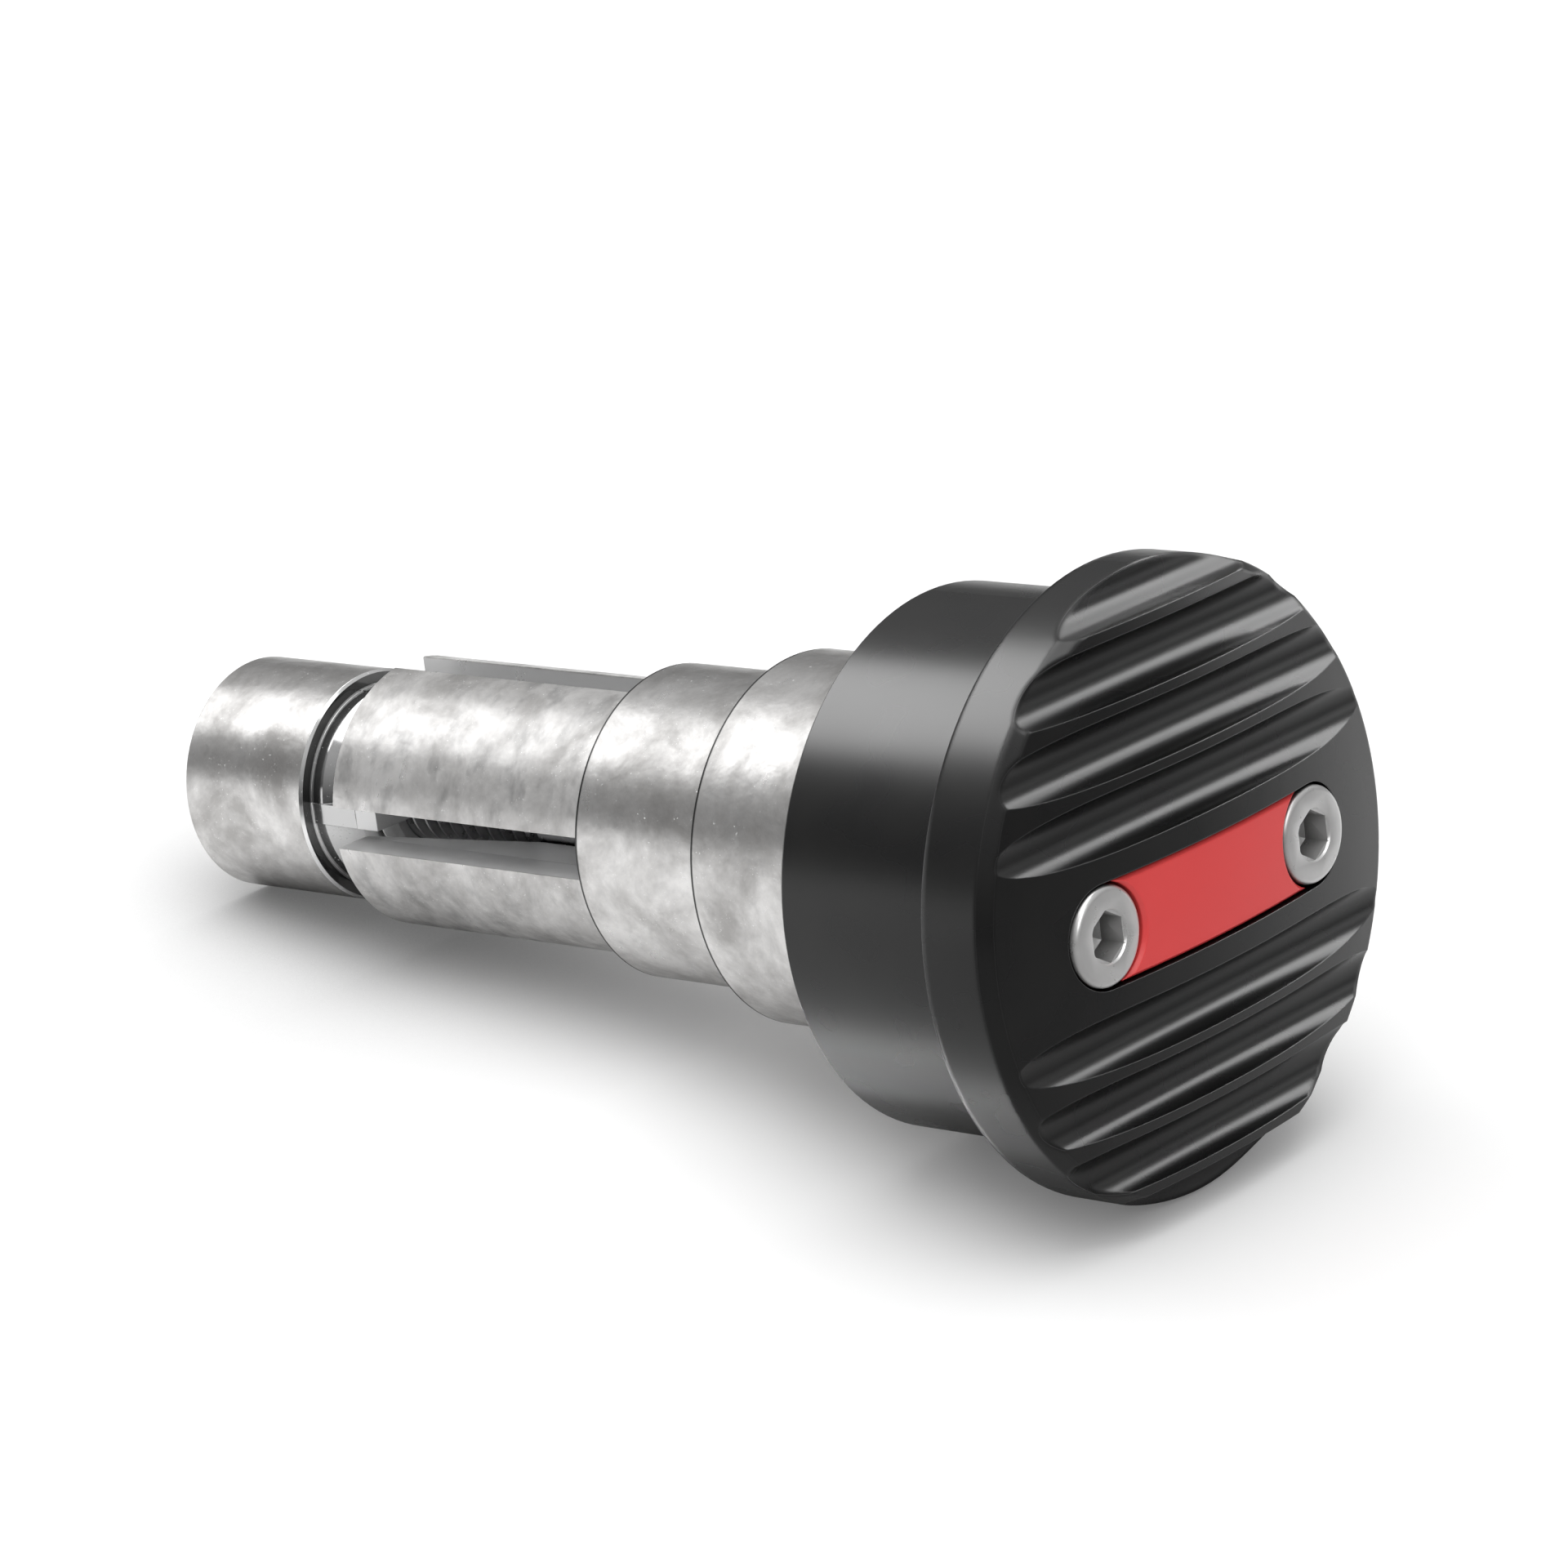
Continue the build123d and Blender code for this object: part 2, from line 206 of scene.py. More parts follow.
class StudioSettings(bpy.types.PropertyGroup):
    """Floor, lights and camera."""
    floor_size: bpy.props.FloatProperty(
        name="Floor size", description="Side of the square floor", default=6.0, unit="LENGTH")
    floor_colour: bpy.props.FloatVectorProperty(
        name="Floor colour", description="Colour of the plain floor", subtype="COLOR",
        size=4, min=0, max=1, default=(0.92, 0.92, 0.92, 1))
    floor_glow: bpy.props.FloatProperty(
        name="Floor glow", description="Share of white that the floor adds to its own light near the weight",
        default=0.12, min=0, max=1)
    # Reach of the painted shadow that darkens the floor close to the weight
    contact_reach: bpy.props.FloatProperty(
        name="Contact reach", description="Distance over which the floor darkens close to the weight",
        default=0.03, unit="LENGTH")
    white_from: bpy.props.FloatProperty(
        name="White from", description="Distance at which the floor starts to turn plain white",
        default=0.08, unit="LENGTH")
    camera_target: bpy.props.FloatVectorProperty(
        name="Camera target", description="Point that the camera looks at", subtype="XYZ",
        default=(5.474 * MM, -0.228 * MM, 16.443 * MM), unit="LENGTH")
    camera_distance: bpy.props.FloatProperty(
        name="Camera distance", description="Distance from the camera to its target",
        default=350 * MM, unit="LENGTH")
    camera_azimuth: bpy.props.FloatProperty(
        name="Camera azimuth", description="Turn of the camera round the weight",
        default=radians(39.954), subtype="ANGLE")
    camera_elevation: bpy.props.FloatProperty(
        name="Camera elevation", description="Height of the camera above the horizon",
        default=radians(21.756), subtype="ANGLE")
    camera_lens: bpy.props.FloatProperty(
        name="Camera lens", description="Focal length on a sensor 36 mm wide",
        default=143.69, subtype="DISTANCE_CAMERA")


def sizes():
    """The sizes as they are set now."""
    return bpy.context.scene.weight_sizes


def finishes():
    """The colours and softness of the finishes as they are set now."""
    return bpy.context.scene.weight_finishes


def studio():
    """The settings of the stage as they are set now."""
    return bpy.context.scene.weight_studio


# Place of the axis. Pieces are modelled along X and then laid down. Station 0, at the origin, is the
# shoulder that butts against the handlebar, and the fluted face looks towards +X

def axis_tilt():
    """Angle of the turning axis above the floor, as the weight lies on its two rims."""
    s = sizes()
    return atan2(s.flange_radius - s.nut_radius, s.cap_rear - s.nut_rear - s.nut_edge_break)


def axis_place():
    """Where station 0 of the axis comes to lie. The CAD nut says how far along the floor."""
    s = sizes()
    tilt = axis_tilt()
    rear_edge = s.nut_rear * cos(tilt) - (s.nut_radius - s.nut_edge_break) * sin(tilt)
    height = s.flange_radius * cos(tilt) - s.cap_rear * sin(tilt)
    return Vector((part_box("cone_nut")[0].x - rear_edge, 0, height))


def bearing(azimuth, elevation):
    """Unit vector from the weight. Azimuth 0 is towards -Y, and a quarter turn towards +X."""
    return Vector((sin(azimuth) * cos(elevation), -cos(azimuth) * cos(elevation), sin(elevation)))


# Modelling helpers

def deselect_all():
    """Leaves edit mode and selects nothing."""
    if bpy.context.mode != "OBJECT":
        bpy.ops.object.mode_set(mode="OBJECT")
    bpy.ops.object.select_all(action="DESELECT")


def select_only(piece):
    """Makes a piece the selected and the active one."""
    deselect_all()
    piece.select_set(True)
    bpy.context.view_layer.objects.active = piece


def add_bar(name, rear, front, radius, sides, along_band=0):
    """Round bar along the axis between two stations, selected and in edit mode."""
    deselect_all()
    bpy.ops.mesh.primitive_cylinder_add(
        vertices=sides, radius=radius, depth=front - rear,
        location=((rear + front) / 2, along_band, 0), rotation=(0, pi / 2, 0))
    piece = bpy.context.object
    piece.name = name
    piece.data.name = name
    bpy.ops.object.transform_apply(location=True, rotation=True, scale=True)
    bpy.ops.object.mode_set(mode="EDIT")
    return piece


def pick_end(piece, direction):
    """Selects the outermost end face towards +X (1) or -X (-1)."""
    bpy.ops.mesh.select_mode(type="FACE")
    bpy.ops.mesh.select_all(action="DESELECT")
    mesh = bmesh.from_edit_mesh(piece.data)
    mesh.normal_update()
    reach = max(direction * vertex.co.x for vertex in mesh.verts)
    found = [
        face for face in mesh.faces
        if direction * face.normal.x > 0.99 and direction * face.calc_center_median().x > reach - HAIR]
    if not found:
        raise RuntimeError(f"{piece.name}: no end face was found to select")
    for face in found:
        face.select = True
    mesh.select_flush_mode()
    bmesh.update_edit_mesh(piece.data)


def inset_end(piece, direction, by):
    """Draws a smaller face inside an end face, and leaves it selected."""
    pick_end(piece, direction)
    bpy.ops.mesh.inset(thickness=by, depth=0)


def push_out(piece, direction, by):
    """Extrudes the selected end along the axis."""
    bpy.ops.mesh.extrude_region_move(TRANSFORM_OT_translate={"value": (direction * by, 0, 0)})


def bevel_end(piece, direction, by, segments):
    """Bevels the rim of an end face."""
    pick_end(piece, direction)
    bpy.ops.mesh.select_mode(type="EDGE")
    bpy.ops.mesh.region_to_loop()
    bpy.ops.mesh.bevel(
        offset=by, offset_type="OFFSET", segments=segments, affect="EDGES", clamp_overlap=True)


def apply_modifiers(piece):
    """Applies a piece's modifiers in their order."""
    select_only(piece)
    for modifier in list(piece.modifiers):
        bpy.ops.object.modifier_apply(modifier=modifier.name)


def cut_with(piece, cutter):
    """Cuts one piece with another, which is then removed."""
    deselect_all()
    cut = piece.modifiers.new("Cut", "BOOLEAN")
    cut.operation = "DIFFERENCE"
    cut.solver = "EXACT"
    cut.object = cutter
    apply_modifiers(piece)
    bpy.data.objects.remove(cutter)


def clean_mesh(piece):
    """Merges corners that a cut left on top of each other, and drops faces without area."""
    select_only(piece)
    bpy.ops.object.mode_set(mode="EDIT")
    bpy.ops.mesh.select_all(action="SELECT")
    bpy.ops.mesh.remove_doubles(threshold=HAIR)
    bpy.ops.mesh.dissolve_degenerate(threshold=HAIR)
    bpy.ops.mesh.normals_make_consistent(inside=False)
    bpy.ops.object.mode_set(mode="OBJECT")


def break_edges(piece, width):
    """Bevels the sharp edges of a whole piece."""
    edge = piece.modifiers.new("Edges", "BEVEL")
    edge.width = width
    edge.segments = 2
    edge.limit_method = "ANGLE"
    edge.angle_limit = radians(35)
    apply_modifiers(piece)


def lay_down(piece, slot, *nodes):
    """Puts a finished piece where the CAD axis lies, and lets it stand for its CAD nodes."""
    select_only(piece)
    bpy.ops.object.shade_smooth_by_angle(angle=radians(35))
    piece.rotation_euler = (0, -axis_tilt(), 0)
    piece.location = axis_place()
    bpy.ops.object.transform_apply(location=True, rotation=True, scale=True)
    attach(piece, "root")
    if nodes:
        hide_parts(*nodes)


# Material helpers

def grey(level):
    """Neutral colour of a level."""
    return (level, level, level, 1)


def new_material(name):
    """A new material, its node tree and its shader."""
    material = bpy.data.materials.new(name)
    material.use_nodes = True
    return material, material.node_tree, material.node_tree.nodes["Principled BSDF"]


def feed(tree, socket, value):
    """Links a socket to another one, or sets it to a plain value."""
    if isinstance(value, bpy.types.NodeSocket):
        tree.links.new(value, socket)
    else:
        socket.default_value = value


def add_node(tree, kind, **inputs):
    """A node with some of its sockets fed. Socket names have _ for a space."""
    node = tree.nodes.new(kind)
    for name, value in inputs.items():
        feed(tree, node.inputs[name.replace("_", " ")], value)
    return node


def maths(tree, operation, first, second=0.0):
    """Result of a sum or another operation on one or two numbers."""
    node = tree.nodes.new("ShaderNodeMath")
    node.operation = operation
    feed(tree, node.inputs[0], first)
    feed(tree, node.inputs[1], second)
    return node.outputs[0]


def rest_of(tree, share):
    """What a share leaves of one."""
    return maths(tree, "SUBTRACT", 1.0, share)


def axis_position(tree):
    """Object position in the frame of the turning axis: station, along the band, across the band."""
    position = tree.nodes.new("ShaderNodeTexCoord").outputs["Object"]
    mapping = tree.nodes.new("ShaderNodeMapping")
    mapping.vector_type = "TEXTURE"
    tree.links.new(position, mapping.inputs["Vector"])
    mapping.inputs["Location"].default_value = axis_place()
    mapping.inputs["Rotation"].default_value = (0, -axis_tilt(), 0)
    return mapping.outputs["Vector"]


def clouds(tree, position, size, detail=5.0, roughness=0.6, stretch=(1, 1, 1), distortion=0.0):
    """Noise whose clouds are about as large as the size, stretched along the axis frame."""
    mapping = tree.nodes.new("ShaderNodeMapping")
    tree.links.new(position, mapping.inputs["Vector"])
    mapping.inputs["Scale"].default_value = [1 / (size * along) for along in stretch]
    noise = add_node(
        tree, "ShaderNodeTexNoise", Vector=mapping.outputs["Vector"],
        Scale=1.0, Detail=detail, Roughness=roughness, Distortion=distortion)
    return noise.outputs["Fac"]


def spread(tree, value, low, high, to_low=0.0, to_high=1.0):
    """Maps a range of a value onto another range, and stops at its ends."""
    node = add_node(
        tree, "ShaderNodeMapRange", Value=value,
        From_Min=low, From_Max=high, To_Min=to_low, To_Max=to_high)
    node.clamp = True
    return node.outputs["Result"]


def blend_colours(tree, share, first, second):
    """The first colour where the share is none, and the second where it is one."""
    node = tree.nodes.new("ShaderNodeMix")
    node.data_type = "RGBA"
    for name, value in (("Factor_Float", share), ("A_Color", first), ("B_Color", second)):
        feed(tree, next(s for s in node.inputs if s.identifier == name), value)
    return next(s for s in node.outputs if s.identifier == "Result_Color")


def soft_edges(tree, radius):
    """Normal that rounds sharp edges over."""
    node = add_node(tree, "ShaderNodeBevel", Radius=radius)
    node.samples = 8
    return node.outputs["Normal"]


def edges_of(tree, rounded):
    """Share of an edge in each place, from how far the rounded normal turns off the true one."""
    turned = add_node(tree, "ShaderNodeVectorMath", Vector=rounded)
    turned.operation = "DOT_PRODUCT"
    tree.links.new(tree.nodes.new("ShaderNodeNewGeometry").outputs["Normal"], turned.inputs[1])
    return spread(tree, turned.outputs["Value"], 0.97, 0.8)


def bump(tree, height, depth, normal=None):
    """Normal of a skin that rises by the depth where the height is one."""
    node = add_node(tree, "ShaderNodeBump", Height=height, Distance=depth, Strength=1.0)
    if normal is not None:
        tree.links.new(normal, node.inputs["Normal"])
    return node.outputs["Normal"]


def openness(tree, reach, samples=6):
    """Share of open air round each place within the reach, which is low in hollows."""
    node = add_node(tree, "ShaderNodeAmbientOcclusion", Distance=reach)
    node.samples = samples
    return node.outputs["AO"]


def station_of(tree, position):
    """Place along the turning axis."""
    return add_node(tree, "ShaderNodeSeparateXYZ", Vector=position).outputs["X"]


def radius_of(tree, position):
    """Distance from the turning axis."""
    parts = add_node(tree, "ShaderNodeSeparateXYZ", Vector=position)
    across = maths(tree, "POWER", parts.outputs["Y"], 2.0)
    up = maths(tree, "POWER", parts.outputs["Z"], 2.0)
    return maths(tree, "SQRT", maths(tree, "ADD", across, up))


def distance_from(tree, value, place):
    """How far a value is from a place, on either side."""
    return maths(tree, "ABSOLUTE", maths(tree, "SUBTRACT", value, place))


def painted_rim_shade(tree, position):
    """Thin lines of painted shade where the rear rims of the rings end."""
    s = sizes()
    station = station_of(tree, position)
    lines = 0.0
    for rim in (s.large_ring_rear, s.small_ring_rear):
        away = distance_from(tree, station, rim + s.ring_edge_break)
        lines = maths(tree, "MAXIMUM", spread(tree, away, 0.09 * MM, 0.16 * MM, 1.0, 0.0), lines)
    return lines


def sleeve_share(tree, position):
    """One on the part of the sleeve that stands out of the small ring, and none elsewhere."""
    s = sizes()
    sleeve_rear = -s.core_reach
    station = station_of(tree, position)
    behind_ring = spread(tree, station, s.small_ring_rear, s.small_ring_rear + 0.05 * MM, 1.0, 0.0)
    before_rear = spread(tree, station, sleeve_rear - 0.1 * MM, sleeve_rear)
    return maths(tree, "MULTIPLY", behind_ring, before_rear)


def slot_walls(tree, position, on_sleeve):
    """One on the cut walls of the sleeve's slots, which lie inside its skin."""
    skin = sizes().sleeve_radius
    inside = spread(tree, radius_of(tree, position), skin - 0.12 * MM, skin - 0.06 * MM, 1.0, 0.0)
    return maths(tree, "MULTIPLY", inside, on_sleeve)


def nut_front_polish_and_painted_light(tree, position):
    """Where the nut is turned bright, on its front face, collar and cone, and the colour there: painted
    highlights on the rim and the collar's corner, and painted shade on the face and in the hollows.
    """
    s = sizes()
    sleeve_rear = -s.core_reach
    chamfer_rear = s.nut_face - s.nut_edge_break
    chamfer_foot = s.nut_radius - s.nut_edge_break
    station = station_of(tree, position)
    radius = radius_of(tree, position)
    before_body = spread(tree, station, chamfer_rear - 0.03 * MM, chamfer_rear)
    behind_sleeve = spread(tree, station, sleeve_rear - 0.05 * MM, sleeve_rear - 0.1 * MM)
    at_rim = spread(tree, radius, chamfer_foot - 0.02 * MM, chamfer_foot)
    off_corner = distance_from(tree, radius, s.collar_radius + 0.06 * MM)
    at_corner = spread(tree, off_corner, 0.05 * MM, 0.09 * MM, 1.0, 0.0)
    on_face = spread(tree, station, s.nut_face + 0.02 * MM, s.nut_face + 0.05 * MM, 1.0, 0.0)
    # Painted highlight on the nut's rim chamfer and on the collar's corner
    bright = maths(tree, "MAXIMUM", at_rim, maths(tree, "MULTIPLY", at_corner, on_face))
    # Painted shade: the front face is laid darker than the collar and the cone
    tone = blend_colours(tree, on_face, grey(0.62), grey(0.17))
    # Painted shade: nearly black in the hollows between the nut and the sleeve
    open_air = spread(tree, openness(tree, 4 * MM), 0.15, 0.6)
    tone = blend_colours(tree, open_air, grey(0.02), tone)
    shade = blend_colours(tree, bright, tone, grey(0.95))
    return maths(tree, "MULTIPLY", before_body, behind_sleeve), shade


# Finishes

def make_black_anodising():
    """Satin black with faint clouds, rubbed patches, a very fine blasted grain and painted highlights along
    its sharp edges.
    """
    f = finishes()
    material, tree, shader = new_material("black_anodising")
    position = axis_position(tree)
    patches = spread(tree, clouds(tree, position, 4 * MM, detail=1.5, roughness=0.5), 0.35, 0.8)
    patched = blend_colours(tree, patches, f.black, f.black_worn)
    tree.links.new(spread(tree, patches, 0.0, 1.0, 0.27, 0.29), shader.inputs["Roughness"])
    grain = clouds(tree, position, 0.10 * MM, detail=2.0)
    rim_start = sizes().rim_start
    rim_full = rim_start + 0.15 * MM
    radius = radius_of(tree, position)
    softness = spread(tree, radius, rim_start, rim_full, f.black_softness, f.rim_softness)
    rounded = soft_edges(tree, softness)
    # Painted highlight: the sharp edges are laid over in a lighter grey
    edge_highlight_share = edges_of(tree, soft_edges(tree, f.black_softness))
    tree.links.new(blend_colours(tree, edge_highlight_share, patched, f.painted_black_edge_highlight), shader.inputs["Base Color"])
    tree.links.new(bump(tree, grain, 0.0006 * MM, rounded), shader.inputs["Normal"])
    shader.inputs["Specular IOR Level"].default_value = 0.65
    return material


def make_clouded_steel():
    """Steel with a clouded, tumbled skin, fine bright specks and faint marks round the axis, painted shade
    lines at the rings' rims, and painted highlights and shade on the nut's front.
    """
    f = finishes()
    material, tree, shader = new_material("clouded_steel")
    position = axis_position(tree)
    large = clouds(tree, position, 4.2 * MM, detail=5.0, roughness=0.62, distortion=0.4)
    small = clouds(tree, position, 0.9 * MM, detail=5.0, roughness=0.6)
    rings = clouds(tree, position, 0.8 * MM, detail=4.0, stretch=(1, 4, 4))
    cloud = spread(tree, maths(tree, "ADD", large, maths(tree, "MULTIPLY", small, 0.25)), 0.46, 0.78)
    clouded = blend_colours(tree, cloud, f.steel_dark, f.steel_light)
    on_sleeve = sleeve_share(tree, position)
    blots = spread(tree, clouds(tree, position, 1.7 * MM, detail=3.0, stretch=(0.9, 1.4, 1.4)), 0.50, 0.72)
    blots = maths(tree, "MULTIPLY", blots, spread(tree, on_sleeve, 0.0, 1.0, 0.15, 0.50))
    blotted = blend_colours(tree, blots, clouded, grey(0.30))
    specks = spread(tree, clouds(tree, position, 0.13 * MM, detail=2.0), 0.66, 0.69)
    specks = maths(tree, "MULTIPLY", specks, spread(tree, small, 0.48, 0.58))
    specked = blend_colours(tree, specks, blotted, grey(0.98))
    # Painted shade: thin dark lines at the rings' rear rims
    rim_shaded = blend_colours(tree, painted_rim_shade(tree, position), specked, grey(0.08))
    # Painted highlights and shade on the nut's front, which is also smoother
    front_polish_and_painted_light, shade = nut_front_polish_and_painted_light(tree, position)
    coloured = blend_colours(tree, front_polish_and_painted_light, rim_shaded, shade)
    walls = slot_walls(tree, position, on_sleeve)
    tree.links.new(blend_colours(tree, walls, coloured, f.core_steel), shader.inputs["Base Color"])
    dull = maths(tree, "MULTIPLY", on_sleeve, rest_of(tree, blots))
    dull = maths(tree, "MAXIMUM", maths(tree, "MULTIPLY", dull, 0.35), maths(tree, "MULTIPLY", specks, 0.9))
    dull = maths(tree, "MAXIMUM", dull, maths(tree, "MULTIPLY", walls, 0.5))
    tree.links.new(rest_of(tree, dull), shader.inputs["Metallic"])
    cloud_gloss = spread(tree, cloud, 0.0, 1.0, 0.34, 0.24)
    rough = maths(tree, "ADD", cloud_gloss, maths(tree, "MULTIPLY", rings, 0.08))
    smoother = rest_of(tree, maths(tree, "MULTIPLY", front_polish_and_painted_light, 0.6))
    tree.links.new(maths(tree, "MULTIPLY", rough, smoother), shader.inputs["Roughness"])
    waves = clouds(tree, position, 1.7 * MM, detail=3.0, roughness=0.55)
    skin = maths(tree, "ADD", maths(tree, "MULTIPLY", small, 0.5), maths(tree, "MULTIPLY", rings, 0.5))
    unpolished = rest_of(tree, front_polish_and_painted_light)
    skin = maths(tree, "MULTIPLY", skin, unpolished)
    waves = maths(tree, "MULTIPLY", waves, unpolished)
    rounded = soft_edges(tree, f.edge_softness)
    wavy = bump(tree, waves, 0.035 * MM, rounded)
    tree.links.new(bump(tree, skin, 0.006 * MM, wavy), shader.inputs["Normal"])
    return material


def make_red():
    """Even red paint with a faint orange peel, soft edges and a painted highlight of brighter red along them.
    """
    f = finishes()
    material, tree, shader = new_material("red_plate")
    position = axis_position(tree)
    tone = clouds(tree, position, 4 * MM, detail=4.0)
    lighter = [min(1.0, channel * 1.08) for channel in f.red[:3]] + [1.0]
    painted = blend_colours(tree, tone, f.red, lighter)
    tree.links.new(spread(tree, tone, 0.3, 0.7, 0.3, 0.4), shader.inputs["Roughness"])
    peel = clouds(tree, position, 0.25 * MM, detail=2.0)
    rounded = soft_edges(tree, 0.12 * MM)
    edge_highlight_share = edges_of(tree, rounded)
    # Painted highlight: the edges are laid over in a brighter red
    tree.links.new(blend_colours(tree, edge_highlight_share, painted, (0.95, 0.06, 0.06, 1)), shader.inputs["Base Color"])
    tree.links.new(bump(tree, peel, 0.001 * MM, rounded), shader.inputs["Normal"])
    return material


def make_turned_steel(name, colour, roughness, metallic, hollow_reach):
    """Bright steel with a fine grain, and painted shade in hollows about as deep as the reach."""
    material, tree, shader = new_material(name)
    position = axis_position(tree)
    tone = clouds(tree, position, 0.8 * MM, detail=5.0)
    darker = [channel * 0.86 for channel in colour[:3]] + [1.0]
    turned = blend_colours(tree, tone, darker, colour)
    # Painted shade: nearly black where hollows and corners close in
    open_air = spread(tree, openness(tree, hollow_reach), 0.3, 0.85)
    tree.links.new(blend_colours(tree, open_air, grey(0.05), turned), shader.inputs["Base Color"])
    shader.inputs["Metallic"].default_value = metallic
    tree.links.new(spread(tree, tone, 0.3, 0.7, roughness, roughness + 0.1), shader.inputs["Roughness"])
    fine = clouds(tree, position, 0.07 * MM, detail=2.0)
    tree.links.new(bump(tree, fine, 0.0015 * MM), shader.inputs["Normal"])
    return material


def dress(material, *nodes):
    """Gives CAD nodes their material."""
    for name in nodes:
        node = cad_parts[name]
        node.data.materials.clear()
        node.data.materials.append(material)


# Operators, one for each piece or group of like pieces

class WEIGHT_OT_black_parts(bpy.types.Operator):
    """Finish the barrel and the fluted cap in black anodising"""
    bl_idname = "weight.black_parts"
    bl_label = "Barrel and Cap"

    def execute(self, context):
        dress(make_black_anodising(), "cap", "barrel")
        return {"FINISHED"}


class WEIGHT_OT_steel_parts(bpy.types.Operator):
    """Finish the rings, the sleeve and the cone nut in clouded steel"""
    bl_idname = "weight.steel_parts"
    bl_label = "Rings, Sleeve and Nut"

    def execute(self, context):
        dress(make_clouded_steel(), "large_ring", "small_ring", "expansion_sleeve", "cone_nut")
        return {"FINISHED"}


class WEIGHT_OT_sleeve_core(bpy.types.Operator):
    """Model the inside of the slotted sleeve: thick segments close round the bolt, with a tapered mouth"""
    bl_idname = "weight.sleeve_core"
    bl_label = "Sleeve Core"

    def execute(self, context):
        s = sizes()
        rear = -s.core_reach
        core = add_bar("sleeve_core", rear, s.core_front, s.core_radius, 128)
        bore = add_bar(
            "bore", rear - CUTTER_OVERHANG, s.core_front + CUTTER_OVERHANG, s.core_bore_radius, 64)
        cut_with(core, bore)
        mouth = add_bar("mouth", rear, s.taper_end, s.core_bore_radius, 96)
        pick_end(mouth, -1)
        widen = s.core_mouth_radius / s.core_bore_radius
        bpy.ops.transform.resize(value=(1, widen, widen))
        pick_end(mouth, -1)
        push_out(mouth, -1, CUTTER_OVERHANG)
        cut_with(core, mouth)
        for turn in (0, pi / 2):
            cut_with(core, self.slot_cutter(turn))
        clean_mesh(core)
        steel = make_turned_steel(
            "core_steel", finishes().core_steel, roughness=0.35, metallic=0.15, hollow_reach=0.3 * MM)
        core.data.materials.append(steel)
        lay_down(core, "mottled_steel")
        return {"FINISHED"}

    def slot_cutter(self, turn):
        """Flat bar that cuts two opposite slots: a square bar, pressed down to their width."""
        s = sizes()
        corner = s.core_radius * 2
        cutter = add_bar("slot", -s.core_reach - CUTTER_OVERHANG, s.slot_end, corner, 4)
        bpy.ops.mesh.select_all(action="SELECT")
        bpy.ops.transform.rotate(value=pi / 4, orient_axis="X", center_override=(0, 0, 0))
        flat = s.slot_width / (sqrt(2) * corner)
        bpy.ops.transform.resize(value=(1, flat, 1))
        bpy.ops.transform.rotate(value=turn, orient_axis="X", center_override=(0, 0, 0))
        return cutter


class WEIGHT_OT_cover_plate(bpy.types.Operator):
    """Finish the cover plate in red"""
    bl_idname = "weight.cover_plate"
    bl_label = "Cover Plate"

    def execute(self, context):
        dress(make_red(), "cover_plate")
        return {"FINISHED"}


class WEIGHT_OT_plate_screws(bpy.types.Operator):
    """Model the two socket cap screws with bevelled heads and hexagon sockets"""
    bl_idname = "weight.plate_screws"
    bl_label = "Plate Screws"

    def execute(self, context):
        s = sizes()
        steel = make_turned_steel(
            "screw_steel", finishes().screw_steel, roughness=0.26, metallic=0.72, hollow_reach=2 * MM)
        for side, name in zip((-1, 1), SCREW_NAMES):
            screw = self.make_screw(name, side * s.screw_spacing / 2)
            screw.data.materials.append(steel)
            nodes = ["plate_screws"] if side > 0 else []
            lay_down(screw, "stainless", *nodes)
        return {"FINISHED"}

    def make_screw(self, name, along_band):
        """One screw, from its head's bevel to the tip of its shank."""
        s = sizes()
        shank_radius = 1.5 * MM
        head_bevel = 0.35 * MM
        tip_chamfer = 0.4 * MM
        socket_depth = 1.6 * MM
        cone_inset, cone_depth = 0.35 * MM, 0.3 * MM
        mouth_depth, mouth_flare = 0.12 * MM, 1.5
        edge_break = 0.04 * MM
        top = s.screw_seat + s.screw_head_height
        corner = s.screw_socket / sqrt(3)
        screw = add_bar(name, s.screw_seat, top, s.screw_head_radius, 96, along_band)
        bevel_end(screw, 1, head_bevel, 4)
        inset_end(screw, -1, s.screw_head_radius - shank_radius)
        push_out(screw, -1, s.screw_length)
        bevel_end(screw, -1, tip_chamfer, 1)
        socket = add_bar("socket", top - socket_depth, top + CUTTER_OVERHANG, corner, 6, along_band)
        bpy.ops.mesh.select_all(action="SELECT")
        bpy.ops.transform.rotate(value=radians(30), orient_axis="X", center_override=(0, along_band, 0))
        inset_end(socket, -1, cone_inset)
        bpy.ops.transform.translate(value=(-cone_depth, 0, 0))
        cut_with(screw, socket)
        mouth = add_bar(
            "mouth", top - mouth_depth, top + CUTTER_OVERHANG, corner - 0.02 * MM, 64, along_band)
        pick_end(mouth, 1)
        bpy.ops.transform.resize(value=(1, mouth_flare, mouth_flare))
        cut_with(screw, mouth)
        break_edges(screw, edge_break)
        return screw


